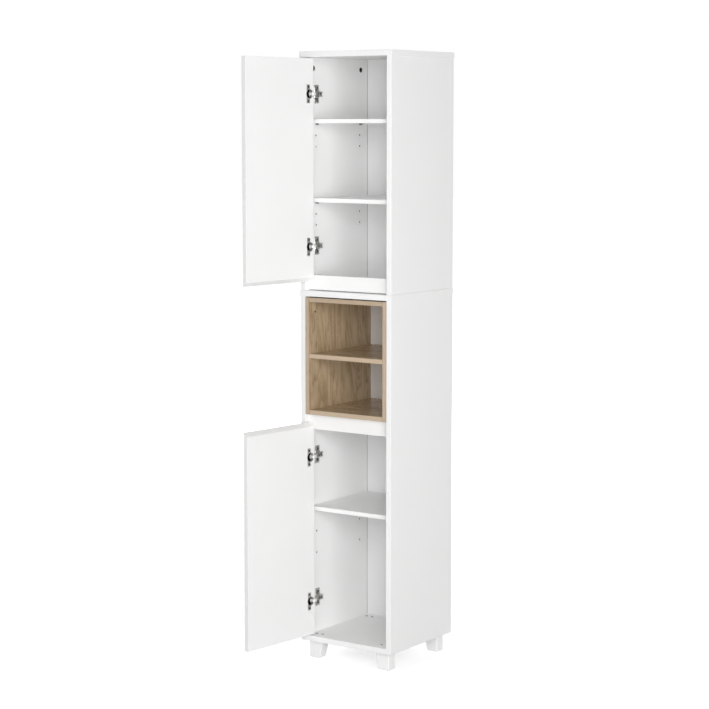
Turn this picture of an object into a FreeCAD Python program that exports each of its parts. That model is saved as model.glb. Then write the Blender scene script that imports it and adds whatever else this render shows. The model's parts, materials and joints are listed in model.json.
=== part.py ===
import FreeCAD, Part
import os
from math import pi, sqrt, tan

# Tall bathroom cabinet: an upper and a lower flat-pack cabinet stacked on four feet.
# Millimetres. X to the right, Y towards the wall, Z up.
# The origin is on the floor under the middle of the sides. The front edges of the
# sides lie at y = -carcass_depth / 2. The doors are drawn shut, then swung open.

Vector = FreeCAD.Vector
Z_AXIS = Vector(0, 0, 1)

# ---- driving dimensions: carcass ----
carcass_width = 312.0       # over the two sides
carcass_depth = 320.0       # front edge to rear edge of a side
foot_height = 52.0
lower_height = 1021.0       # lower cabinet, without its feet
upper_height = 677.0
board = 16.0                # sides, tops, bottoms, divider and rails
top_overhang = 2.0          # how far both top boards stand proud, left, right and front
edge_round = 0.8            # eased outer edges of boards and doors
edge_match = 0.01           # how near an edge lies to the corner that names it
back_thickness = 3.0
back_recess = 5.0           # rear face of a back panel to the rear edges
back_groove_depth = 6.0
back_groove_play = 0.2      # to each side of the back panel, and at its ends

# ---- rails, shelves and the oak box ----
seam_gap = 2.0              # shadow gap under the upper cabinet's bottom rail
upper_rail_height = 42.0
lower_rail_height = 45.0
rail_recess = 19.0          # rails stand behind the doors
shelf_thickness = 12.0
shelf_setback = 24.0
shelf_play = 0.5            # at each end and behind a loose shelf
insert_board = 13.0
insert_height = 337.0
insert_top_gap = 3.0
insert_side_play = 0.25
insert_shelf_height = 162.0  # underside, above the box's lowest face

# ---- shelf pins; a pair of rows is a distance behind the front edges of the sides
# and a distance in front of their rear edges ----
pin_row_front = 54.0
pin_row_rear = 48.0
pin_radius = 2.5
pin_chamfer = 0.5
pin_in_side = 9.0
pin_in_cabinet = 9.0
pin_hole_play = 0.1
pin_hole_spare_depth = 1.0
holes_per_group = 3
upper_hole_pitch = 32.0
lower_hole_pitch = 64.0
upper_low_group = 167.0     # lowest hole of the group, above the upper cabinet's floor
upper_high_group = 252.0    # lowest hole of the group, below the upper cabinet's ceiling
lower_group = 235.0         # lowest hole of the group, above the lower cabinet's floor

# ---- cams, bolts, dowels ----
cam_radius = 7.5
cam_depth = 12.5
cam_sink = 0.4
cam_from_edge = 30.0
top_cam_rows = (42.0, 42.0)     # in the tops of the sides
end_cam_rows = (66.0, 60.0)     # in the fixed boards
bolt_radius = 3.0
bolt_grip = 11.0            # length of thread in the other board
bolt_play = 0.2
dowel_radius = 4.0
dowel_in_end = 20.0
dowel_in_face = 10.0
dowel_rows = (100.0, 90.0)
rail_dowel_radius = 3.0
rail_dowel_inset = 11.0     # from the rail's top and bottom

# ---- feet ----
foot_inset = 17.0           # from both outer faces of the carcass
foot_top_width = 47.0
foot_bottom_width = 35.0
foot_depth = 32.0
foot_corner = 2.5
foot_chamfer = 2.0
foot_screw_first = 15.0     # from the foot's outer face
foot_screw_spacing = 20.0
foot_screw_bite = 22.0      # length in the foot

# ---- doors ----
door_thickness = 15.0
door_top_gap = 3.0
door_bottom_gap = 3.0
hinge_side_gap = 3.5
free_side_gap = 2.5
finger_gap = 24.0           # rail left showing where a hand takes the door
finger_bevel = 11.5
open_angle = 96.5           # how far the doors stand open in the modelled pose

# ---- hinges: x from the side's inner face, y from the front edge, z from the centre ----
hinge_inset = 100.0         # hinge centre from the door's end
pivot_x = 11.5
pivot_y = 7.5
pivot_pin_radius = 1.25
knuckle_play = 0.06
knuckle_radius = 2.1
cup_edge = 4.0              # cup to the door's edge
cup_radius = 13.0
cup_depth = 11.3
cup_wall = 0.8
cup_hole_play = 0.1
flange_thickness = 1.0
flange_radius = 13.8
flange_height = 52.0
flange_wing = 13.0
flange_wing_shift = 5.7     # away from the door's edge
flange_corner = 1.5
cup_screw_spacing = 40.0
arm_width = 8.0
arm_sheet = 1.8
arm_bend_radius = 3.0       # inside the sheet's bends
arm_rise_x = 22.9           # inner face of the arm's rise out of the cup
arm_back_x = 11.0           # underside of the arm over its plate
arm_bend_y = 32.0
arm_end_y = 68.0
arm_channel_width = 14.0
arm_channel_start = 36.0
arm_channel_sheet = 1.5
arm_wall_drop = 6.0
arm_wall_slope = 9.0        # length over which the walls come down
fork_width = 5.0            # open slot at the arm's end, round the clamping screw
plate_thickness = 2.2
plate_width = 23.0
plate_height = 52.0
plate_corner = 4.0
saddle_width = 20.0
saddle_height = 20.0
saddle_thickness = 4.4
ridge_width = 9.0
ridge_end = 64.5
ridge_play = 0.3            # under the arm
plate_screw_spacing = 32.0
setting_screw_y = 47.0
clamping_screw_y = 58.0
arm_screw_bite = 7.0

# ---- screws and nails ----
screw_radius = 2.0
screw_head_radius = 4.0
screw_head_height = 2.2
small_screw_radius = 1.7
small_head_radius = 3.2
small_head_height = 1.8
cross_width = 1.0
cross_depth = 1.1
cross_share = 0.55          # half the cross's length, of the head's radius
join_screw_length = 26.0
join_screw_inset = 60.0     # from the inner faces of the sides
join_screw_rows = (70.0, 70.0)
insert_screw_bite = 20.0
insert_screw_drop = 43.0    # below the box's top
insert_screw_rows = (30.0, 50.0)
nail_radius = 0.8
nail_head_radius = 2.5
nail_head_height = 0.8
nail_length = 16.0
nail_inset = 50.0           # outer nails, from the inner faces of the sides
plate_screw_bite = 12.0
cup_screw_bite = 10.0

# ---- places worked out from the sizes ----
half_width = carcass_width / 2
inner_x = half_width - board
front_y = -carcass_depth / 2
rear_y = carcass_depth / 2
back_front_y = rear_y - back_recess - back_thickness
rail_y = front_y + rail_recess
behind_rail_y = rail_y + board

base_z = foot_height
floor_z = base_z + board
seam_z = base_z + lower_height
lower_top_z = seam_z - board
insert_top_z = lower_top_z - insert_top_gap
insert_z = insert_top_z - insert_height
divider_z = insert_z - board
lower_rail_z = insert_z - lower_rail_height
upper_rail_z = seam_z + seam_gap
upper_floor_z = upper_rail_z + board
top_z = seam_z + upper_height
ceiling_z = top_z - board

door_width = 2 * inner_x - hinge_side_gap - free_side_gap
upper_door_low = upper_rail_z + finger_gap
upper_door_high = ceiling_z - door_top_gap
lower_door_low = floor_z + door_bottom_gap
lower_door_high = insert_z - finger_gap
door_spans = {"upper": (upper_door_low, upper_door_high), "lower": (lower_door_low, lower_door_high)}

upper_group_z = [upper_floor_z + upper_low_group, ceiling_z - upper_high_group]
lower_group_z = [floor_z + lower_group]

pieces = {}


# ---- helpers ----
def rows_y(rows):
    """Places in Y of a front row, behind the sides' front edges, and a rear row, in front
    of their rear edges."""
    behind_front, before_rear = rows
    return [front_y + behind_front, rear_y - before_rear]


def box(x0, x1, y0, y1, z0, z1):
    """Block between two corners."""
    return Part.makeBox(x1 - x0, y1 - y0, z1 - z0, Vector(x0, y0, z0))


def rod(radius, start, end):
    """Round bar from start to end."""
    line = Vector(*end) - Vector(*start)
    return Part.makeCylinder(radius, line.Length, Vector(*start), line)


def joined(shapes):
    """One solid from shapes that overlap or meet face to face."""
    shapes = list(shapes)
    return shapes[0].fuse(shapes[1:]).removeSplitter()


def cut_all(shape, tools):
    """Shape with every tool cut away."""
    tools = list(tools)
    if not tools:
        return shape
    return shape.cut(Part.makeCompound(tools))


def group(shapes):
    """Identical loose solids that share one node."""
    return Part.makeCompound(list(shapes))


def eased(shape, radius=edge_round):
    """Shape with all its edges rounded a little."""
    return shape.makeFillet(radius, shape.Edges)


def plate(outline, z0, z1):
    """Prism over a closed outline in X and Y."""
    points = [Vector(x, y, z0) for x, y in outline]
    wire = Part.makePolygon(points + points[:1])
    return Part.Face(wire).extrude(Vector(0, 0, z1 - z0))


def screw(head, direction, length, radius, head_radius, head_height, sunk):
    """Screw with a cross-slotted head. The head's outer face is at head for a sunk
    screw, and one head height above it for a pan head. Length is the shank's."""
    head = Vector(*head)
    way = Vector(*direction)
    if sunk:
        cap = Part.makeCone(head_radius, radius, head_height, head, way)
        outer = head
    else:
        cap = Part.makeCylinder(head_radius, head_height, head - way * head_height, way)
        outer = head - way * head_height
    shank = Part.makeCylinder(radius, length, head, way)
    side = Vector(way.y, way.z, way.x)
    other = way.cross(side)
    slots = [slot(outer, way, side, other, head_radius), slot(outer, way, other, side, head_radius)]
    return cut_all(cap.fuse(shank).removeSplitter(), slots)


def slot(face, way, along, across, head_radius):
    """One bar of a cross slot, cross_depth deep into the head."""
    reach = head_radius * cross_share
    half = cross_width / 2
    corners = [along * reach + across * half, along * reach - across * half,
               along * -reach - across * half, along * -reach + across * half]
    points = [face + corner - way * cross_depth for corner in corners]
    wire = Part.makePolygon(points + points[:1])
    return Part.Face(wire).extrude(way * (2 * cross_depth))


def sunk_hole(head, direction, length, radius, head_radius, head_height):
    """Space that a sunk screw takes in the boards."""
    head = Vector(*head)
    way = Vector(*direction)
    hole = Part.makeCylinder(radius, length, head, way)
    return hole.fuse(Part.makeCone(head_radius, radius, head_height, head, way))


def drilled(node, holes):
    """Cut more holes in a piece that is already made."""
    pieces[node] = cut_all(pieces[node], holes)


def side_groove(side, z0, z1):
    """Groove for a back panel in the inner face of a side: side is -1 left, 1 right."""
    x0, x1 = sorted((side * inner_x, side * (inner_x + back_groove_depth)))
    y0 = back_front_y - back_groove_play
    return box(x0, x1, y0, y0 + back_thickness + 2 * back_groove_play, z0, z1)


def pin_holes(side, groups, pitch):
    """Blind holes for shelf pins in a side's inner face."""
    depth = pin_in_side + pin_hole_spare_depth
    radius = pin_radius + pin_hole_play
    for low in groups:
        for step in range(holes_per_group):
            for y in rows_y((pin_row_front, pin_row_rear)):
                z = low + step * pitch
                yield rod(radius, (side * inner_x, y, z), (side * (inner_x + depth), y, z))


# ---- sides, tops, bottoms, backs ----
def make_side(node, side, z0, z1, groups, pitch):
    """One side of a cabinet: eased, grooved and bored for shelf pins."""
    x0, x1 = sorted((side * inner_x, side * half_width))
    panel = eased(box(x0, x1, front_y, rear_y, z0, z1))
    tools = [side_groove(side, z0, z1)]
    tools += pin_holes(side, groups, pitch)
    pieces[node] = cut_all(panel, tools)


def make_top(node, z1):
    """Top board that lies over the sides, with a groove for the back panel."""
    reach = half_width + top_overhang
    panel = eased(box(-reach, reach, front_y - top_overhang, rear_y, z1 - board, z1))
    y0 = back_front_y - back_groove_play
    y1 = y0 + back_thickness + 2 * back_groove_play
    half_back = inner_x + back_groove_depth
    z0 = z1 - board
    pieces[node] = panel.cut(box(-half_back, half_back, y0, y1, z0, z0 + back_groove_depth))


def make_back(node, z0, z1):
    """Thin back panel that slides in the grooves up to the top board's."""
    half_back = inner_x + back_groove_depth - back_groove_play
    y1 = back_front_y + back_thickness
    z_end = z1 + back_groove_depth - back_groove_play
    pieces[node] = box(-half_back, half_back, back_front_y, y1, z0, z_end)


def make_board(node, z0, y0):
    """Fixed board between the sides, from y0 back to the back panel."""
    pieces[node] = box(-inner_x, inner_x, y0, back_front_y, z0, z0 + board)


def make_rail(node, z0, height):
    """Recessed rail in front of a fixed board, with eased front edges."""
    rail = box(-inner_x, inner_x, rail_y, behind_rail_y, z0, z0 + height)
    front = [edge for edge in rail.Edges if edge.BoundBox.YMax < rail_y + edge_round
             and edge.BoundBox.XLength > board]
    pieces[node] = rail.makeFillet(edge_round, front)


# ---- joints between the boards ----
cams = []
bolts = []
dowels = []


def end_joint(node, side, cabinet_side, board_z):
    """Cams in a fixed board's underside, with bolts and dowels into the side."""
    for y in rows_y(end_cam_rows):
        cam_x = side * (inner_x - cam_from_edge)
        z_mid = board_z + board / 2
        add_cam((cam_x, y, board_z), (0, 0, 1), node)
        bolt_end = (side * (inner_x + bolt_grip), y, z_mid)
        add_bolt((cam_x, y, z_mid), bolt_end, node, cabinet_side)
    for y in rows_y(dowel_rows):
        start = (side * (inner_x - dowel_in_end), y, board_z + board / 2)
        end = (side * (inner_x + dowel_in_face), y, board_z + board / 2)
        add_dowel(dowel_radius, start, end, node, cabinet_side)


def top_joint(top_node, cabinet_side, side, board_z):
    """Cams in a side's inner face, with bolts and dowels up into the top board."""
    x_mid = side * (inner_x + board / 2)
    for y in rows_y(top_cam_rows):
        cam_z = board_z - cam_from_edge
        add_cam((side * inner_x, y, cam_z), (side, 0, 0), cabinet_side)
        add_bolt((x_mid, y, cam_z), (x_mid, y, board_z + bolt_grip), cabinet_side, top_node)
    for y in rows_y(dowel_rows):
        start = (x_mid, y, board_z - dowel_in_end)
        end = (x_mid, y, board_z + dowel_in_face)
        add_dowel(dowel_radius, start, end, cabinet_side, top_node)


def add_cam(face, way, node):
    """Round cam lock sunk in a board, with a cross slot in its face."""
    face = Vector(*face)
    way = Vector(*way)
    hole = Part.makeCylinder(cam_radius, cam_depth, face, way)
    drilled(node, [hole])
    start = face + way * cam_sink
    body = Part.makeCylinder(cam_radius - bolt_play, cam_depth - cam_sink, start, way)
    along = Vector(way.y, way.z, way.x)
    across = way.cross(along)
    slots = [slot(start, way, along, across, cam_radius), slot(start, way, across, along, cam_radius)]
    cams.append(cut_all(body, slots))


def add_bolt(start, end, first, second):
    """Cam bolt from inside a cam into the board that the cam pulls up."""
    start = Vector(*start)
    end = Vector(*end)
    way = (end - start).normalize()
    hole = Part.makeCylinder(bolt_radius + bolt_play, (end - start).Length, start, way)
    drilled(first, [hole])
    drilled(second, [hole])
    head = start + way * (cam_radius + bolt_play)
    bolts.append(Part.makeCylinder(bolt_radius, (end - head).Length - bolt_play, head, way))


def add_dowel(radius, start, end, first, second):
    """Wooden dowel across a joint between two boards."""
    hole = rod(radius, start, end)
    drilled(first, [hole])
    drilled(second, [hole])
    dowels.append(hole)


# ---- shelves ----
def make_shelf(node, pins_node, low_z, pitch):
    """Loose shelf on four pins in the top hole of its group."""
    pin_z = low_z + (holes_per_group - 1) * pitch
    z0 = pin_z + pin_radius
    reach = inner_x - shelf_play
    y1 = back_front_y - shelf_play
    shelf = box(-reach, reach, front_y + shelf_setback, y1, z0, z0 + shelf_thickness)
    pieces[node] = eased(shelf)
    ends = [(side, y) for side in (-1, 1) for y in rows_y((pin_row_front, pin_row_rear))]
    pieces[pins_node] = group(shelf_pin(side, y, pin_z) for side, y in ends)


def shelf_pin(side, y, z):
    """Plain steel pin, half in the side and half under the shelf."""
    start = (side * (inner_x + pin_in_side), y, z)
    pin = rod(pin_radius, start, (side * (inner_x - pin_in_cabinet), y, z))
    return pin.makeChamfer(pin_chamfer, pin.Edges[:1] + pin.Edges[2:])


# ---- oak box in the open niche ----
def make_insert():
    """Open box of oak-faced boards, flush with the front edges of the sides."""
    outer = inner_x - insert_side_play
    inner = outer - insert_board
    y0 = front_y
    y1 = back_front_y - shelf_play
    low_z = insert_z
    high_z = insert_top_z
    shelf_z = low_z + insert_shelf_height
    left = box(-outer, -inner, y0, y1, low_z, high_z)
    right = box(inner, outer, y0, y1, low_z, high_z)
    bottom = box(-inner, inner, y0, y1, low_z, low_z + insert_board)
    shelf = box(-inner, inner, y0, y1, shelf_z, shelf_z + insert_board)
    top = box(-inner, inner, y0, y1, high_z - insert_board, high_z)
    pieces["insert_left_side"] = left
    pieces["insert_right_side"] = right
    pieces["insert_bottom"] = bottom
    pieces["insert_shelf"] = shelf
    pieces["insert_top"] = top
    for end in (-1, 1):
        node = "insert_left_side" if end < 0 else "insert_right_side"
        for name, z in (("bottom", low_z), ("shelf", shelf_z), ("top", high_z - insert_board)):
            for y in rows_y(dowel_rows):
                z_mid = z + insert_board / 2
                start = (end * (inner - dowel_in_end), y, z_mid)
                finish = (end * (inner + insert_board / 2), y, z_mid)
                add_dowel(rail_dowel_radius, start, finish, "insert_" + name, node)


def fix_insert():
    """Screws that hold the oak box to the sides of the lower cabinet."""
    screws = []
    face = inner_x - insert_side_play - insert_board
    z = insert_top_z - insert_screw_drop
    size = (small_screw_radius, small_head_radius, small_head_height)
    for side in (-1, 1):
        word = "left" if side < 0 else "right"
        for y in rows_y(insert_screw_rows):
            head = (side * face, y, z)
            holes = [sunk_hole(head, (side, 0, 0), insert_screw_bite, *size)]
            drilled("insert_" + word + "_side", holes)
            drilled("lower_side_" + word, holes)
            screws.append(screw(head, (side, 0, 0), insert_screw_bite, *size, True))
    pieces["insert_screws"] = group(screws)


# ---- feet ----
def make_foot(node, side, end):
    """Foot with a sloping inner face: side -1 left, 1 right; end -1 front, 1 rear."""
    outer = half_width - foot_inset
    top_in = outer - foot_top_width
    low_in = outer - foot_bottom_width
    y_out = carcass_depth / 2 - foot_inset
    y0, y1 = sorted((end * y_out, end * (y_out - foot_depth)))
    profile = [Vector(side * outer, y0, 0), Vector(side * low_in, y0, 0),
               Vector(side * top_in, y0, foot_height), Vector(side * outer, y0, foot_height)]
    face = Part.Face(Part.makePolygon(profile + profile[:1]))
    foot = face.extrude(Vector(0, y1 - y0, 0))
    upright = [edge for edge in foot.Edges if edge.BoundBox.ZLength > foot_height / 2]
    foot = foot.makeFillet(foot_corner, upright)
    rim = [edge for edge in foot.Edges if edge.BoundBox.ZMax < foot_height / 2]
    foot = foot.makeChamfer(foot_chamfer, rim)
    pieces[node] = foot
    return foot_screws(node, side, (y0 + y1) / 2, outer)


def foot_screws(node, side, y, outer):
    """Two sunk screws through the bottom board into a foot."""
    screws = []
    size = (screw_radius, screw_head_radius, screw_head_height)
    for step in range(2):
        x = side * (outer - foot_screw_first - step * foot_screw_spacing)
        head = (x, y, floor_z)
        length = board + foot_screw_bite
        hole = sunk_hole(head, (0, 0, -1), length, *size)
        drilled(node, [hole])
        drilled("lower_bottom_panel", [hole])
        screws.append(screw(head, (0, 0, -1), length, *size, True))
    return screws


# ---- doors and hinges, drawn shut ----
def opened(shape):
    """Swing a piece of a shut door about its pivot line to the open pose."""
    turned = shape.copy()
    centre = Vector(-inner_x + pivot_x, front_y + pivot_y, 0)
    turned.rotate(centre, Z_AXIS, -open_angle)
    return turned


def at_hinge(shape, z):
    """Move hinge geometry from its own frame to its place on the left side."""
    moved = shape.copy()
    moved.translate(Vector(-inner_x, front_y, z))
    return moved


def make_door(word, bevel_low):
    """Door leaf with a bevelled finger edge at its lower or upper end."""
    low, high = door_spans[word]
    x0 = -inner_x + hinge_side_gap
    inner_face = front_y + door_thickness
    leaf = eased(box(x0, x0 + door_width, front_y, inner_face, low, high))
    edge_z = low if bevel_low else high
    into = finger_bevel if bevel_low else -finger_bevel
    corners = [(inner_face - finger_bevel, edge_z), (inner_face, edge_z + into),
               (inner_face + finger_bevel, edge_z)]
    over = board
    points = [Vector(x0 - over, y, z) for y, z in corners]
    wedge = Part.Face(Part.makePolygon(points + points[:1])).extrude(Vector(door_width + 2 * over, 0, 0))
    pieces[word + "_door"] = leaf.cut(wedge)


def hinge_arm():
    """Bent arm: knuckle in the cup, rise out of it, neck, then a channel over the plate."""
    half = arm_width / 2
    low = pivot_y - knuckle_radius
    over = arm_back_x + arm_sheet
    rise_out = arm_rise_x + arm_sheet
    bend_in = arm_bend_y - arm_rise_x + arm_back_x
    fold = arm_sheet * tan(pi / 8)      # at a bend of 45 degrees, inner face ahead of outer face
    outline = [(pivot_x, low), (rise_out, low), (rise_out, bend_in), (over, arm_bend_y), (over, arm_end_y),
               (arm_back_x, arm_end_y), (arm_back_x, arm_bend_y - fold), (arm_rise_x, bend_in - fold),
               (arm_rise_x, low + arm_sheet), (pivot_x, low + arm_sheet)]
    strip = plate(outline, -half, half)
    outside = arm_bend_radius + arm_sheet
    strip = bend_round(strip, [outline[1], outline[2], outline[6]], outside)
    strip = bend_round(strip, [outline[3], outline[7], outline[8]], arm_bend_radius)
    knuckle = rod(knuckle_radius, (pivot_x, pivot_y, -half), (pivot_x, pivot_y, half))
    arm = joined([strip, knuckle] + arm_channel())
    bore = rod(pivot_pin_radius + knuckle_play, (pivot_x, pivot_y, -half), (pivot_x, pivot_y, half))
    half_fork = fork_width / 2
    fork = box(arm_back_x - arm_wall_drop, over, clamping_screw_y, arm_end_y, -half_fork, half_fork)
    fork_root = rod(half_fork, (arm_back_x - arm_wall_drop, clamping_screw_y, 0), (over, clamping_screw_y, 0))
    return cut_all(arm, [bore, fork, fork_root] + arm_screw_spaces())


def bend_round(strip, corners, radius):
    """Round a strip's upright edges at the given corners of its outline."""
    edges = [edge for edge in strip.Edges for x, y in corners
             if abs(edge.CenterOfMass.x - x) + abs(edge.CenterOfMass.y - y) < edge_match]
    return strip.makeFillet(radius, edges)


def arm_channel():
    """Top and both walls of the arm's channel; the walls come down along a slope."""
    over = arm_back_x + arm_sheet
    wide = arm_channel_width / 2
    top = box(arm_back_x, over, arm_channel_start, arm_end_y, -wide, wide)
    foot = arm_back_x - arm_wall_drop
    side_view = [(over, arm_channel_start), (over, arm_end_y), (foot, arm_end_y),
                 (foot, arm_channel_start + arm_wall_slope), (arm_back_x, arm_channel_start)]
    wall_starts = (-wide, wide - arm_channel_sheet)
    return [top] + [plate(side_view, z, z + arm_channel_sheet) for z in wall_starts]


def arm_screw_spaces():
    """Holes for the two screws that set and clamp the arm."""
    start = arm_back_x + arm_sheet
    return [rod(small_screw_radius, (start, y, 0), (start - arm_screw_bite, y, 0))
            for y in (setting_screw_y, clamping_screw_y)]


def hinge_arm_screws():
    """Setting and clamping screws with their heads on the arm."""
    size = (small_screw_radius, small_head_radius, small_head_height)
    face = arm_back_x + arm_sheet
    return [screw((face, y, 0), (-1, 0, 0), arm_screw_bite, *size, False)
            for y in (setting_screw_y, clamping_screw_y)]


def round_plate(thickness, width, height, corner):
    """Flat plate on the side's face, centred on the front row of holes."""
    y0 = pin_row_front - width / 2
    block = box(0, thickness, y0, y0 + width, -height / 2, height / 2)
    across = [edge for edge in block.Edges if edge.BoundBox.XLength > thickness / 2]
    return block.makeFillet(corner, across)


def hinge_plate():
    """Mounting plate: flat base, raised saddle and the ridge that the arm sits on."""
    base = round_plate(plate_thickness, plate_width, plate_height, plate_corner)
    saddle = round_plate(saddle_thickness, saddle_width, saddle_height, plate_corner / 2)
    half_ridge = ridge_width / 2
    ridge_start = pin_row_front - saddle_width / 2
    ridge = box(0, arm_back_x - ridge_play, ridge_start, ridge_end, -half_ridge, half_ridge)
    body = joined([base, saddle, ridge])
    holes = [rod(screw_radius, (0, pin_row_front, z), (plate_thickness, pin_row_front, z))
             for z in plate_screw_places()]
    return cut_all(body, holes + arm_screw_spaces())


def plate_screw_places():
    """Heights of a plate's two screws from the hinge's centre."""
    return (-plate_screw_spacing / 2, plate_screw_spacing / 2)


def hinge_plate_screws():
    """Two pan-head screws through the plate's wings into the side."""
    size = (screw_radius, screw_head_radius, screw_head_height)
    length = plate_thickness + plate_screw_bite
    return [screw((plate_thickness, pin_row_front, z), (-1, 0, 0), length, *size, False)
            for z in plate_screw_places()]


def cup_centre_x():
    """Cup centre from the side's inner face with the door shut."""
    return hinge_side_gap + cup_edge + cup_radius


def hinge_cup():
    """Round cup with a winged flange, and the bores that hold the pivot pin."""
    x = cup_centre_x()
    face = door_thickness
    shell = rod(cup_radius, (x, face - cup_depth, 0), (x, face, 0))
    rim = rod(flange_radius, (x, face, 0), (x, face + flange_thickness, 0))
    wing_x = x + flange_wing_shift
    half_wing = flange_wing / 2
    tip = flange_height / 2
    wings = box(wing_x - half_wing, wing_x + half_wing, face, face + flange_thickness, -tip, tip)
    wings = wings.makeFillet(flange_corner, [edge for edge in wings.Edges
                                             if edge.BoundBox.YLength > flange_thickness / 2])
    floor = face - cup_depth + cup_wall
    hollow = rod(cup_radius - cup_wall, (x, floor, 0), (x, face + flange_thickness, 0))
    body = joined([shell, rim, wings])
    holes = [rod(small_screw_radius, (wing_x, face, z), (wing_x, face + flange_thickness, z))
             for z in cup_screw_places()]
    return cut_all(body, [hollow, pivot_pin()] + holes)


def pivot_pin():
    """Pin across the cup that the arm's knuckle turns on, as long as the cup's outer wall allows."""
    off_centre = cup_centre_x() - pivot_x + pivot_pin_radius
    half = sqrt(cup_radius ** 2 - off_centre ** 2)
    return rod(pivot_pin_radius, (pivot_x, pivot_y, -half), (pivot_x, pivot_y, half))


def cup_screw_places():
    """Heights of a cup's two screws from the hinge's centre."""
    return (-cup_screw_spacing / 2, cup_screw_spacing / 2)


def hinge_cup_screws():
    """Two pan-head screws through the flange into the door."""
    size = (small_screw_radius, small_head_radius, small_head_height)
    x = cup_centre_x() + flange_wing_shift
    face = door_thickness + flange_thickness
    length = flange_thickness + cup_screw_bite
    return [screw((x, face, z), (0, -1, 0), length, *size, False) for z in cup_screw_places()]


def door_hollows():
    """Space that one hinge takes in the door leaf."""
    x = cup_centre_x()
    face = door_thickness
    depth = cup_depth + cup_hole_play
    pocket = rod(cup_radius + cup_hole_play, (x, face - depth, 0), (x, face, 0))
    wing_x = x + flange_wing_shift
    bite = [rod(small_screw_radius, (wing_x, face - cup_screw_bite, z), (wing_x, face, z))
            for z in cup_screw_places()]
    return [pocket] + bite


def make_hinges(word, side_node):
    """Both hinges of one door, from the door's lower to its upper end."""
    low, high = door_spans[word]
    cup_screws = []
    plate_screws = []
    arm_screws = []
    for name, z in (("low", low + hinge_inset), ("high", high - hinge_inset)):
        label = word + "_hinge_" + name
        drilled(word + "_door", [at_hinge(hollow, z) for hollow in door_hollows()])
        pieces[label + "_cup"] = opened(at_hinge(hinge_cup(), z))
        pieces[label + "_pin"] = opened(at_hinge(pivot_pin(), z))
        pieces[label + "_arm"] = at_hinge(hinge_arm(), z)
        pieces[label + "_plate"] = at_hinge(hinge_plate(), z)
        cup_screws += [opened(at_hinge(one, z)) for one in hinge_cup_screws()]
        plate_screws += [at_hinge(one, z) for one in hinge_plate_screws()]
        arm_screws += [at_hinge(one, z) for one in hinge_arm_screws()]
        bites = [rod(screw_radius, (-plate_screw_bite, pin_row_front, step), (0, pin_row_front, step))
                 for step in plate_screw_places()]
        drilled(side_node, [at_hinge(bite, z) for bite in bites])
    pieces[word + "_door"] = opened(pieces[word + "_door"])
    pieces[word + "_cup_screws"] = group(cup_screws)
    pieces[word + "_plate_screws"] = group(plate_screws)
    pieces[word + "_arm_screws"] = group(arm_screws)


# ---- fasteners that hold the cabinets together ----
def join_cabinets():
    """Screws down through the upper floor into the lower cabinet's top board."""
    size = (screw_radius, screw_head_radius, screw_head_height)
    screws = []
    for side in (-1, 1):
        for y in rows_y(join_screw_rows):
            head = (side * (inner_x - join_screw_inset), y, upper_floor_z)
            hole = sunk_hole(head, (0, 0, -1), join_screw_length, *size)
            drilled("upper_bottom_panel", [hole])
            drilled("lower_top_panel", [hole])
            screws.append(screw(head, (0, 0, -1), join_screw_length, *size, True))
    pieces["joining_screws"] = group(screws)


def nail_back(back_node, board_node, board_z):
    """Nails through a back panel into the rear edge of a fixed board."""
    nails = []
    face = back_front_y + back_thickness
    z = board_z + board / 2
    reach = inner_x - nail_inset
    for x in (-reach, 0, reach):
        shank = rod(nail_radius, (x, face, z), (x, face - nail_length, z))
        head = rod(nail_head_radius, (x, face, z), (x, face + nail_head_height, z))
        drilled(back_node, [shank])
        drilled(board_node, [shank])
        nails.append(joined([shank, head]))
    return nails


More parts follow.
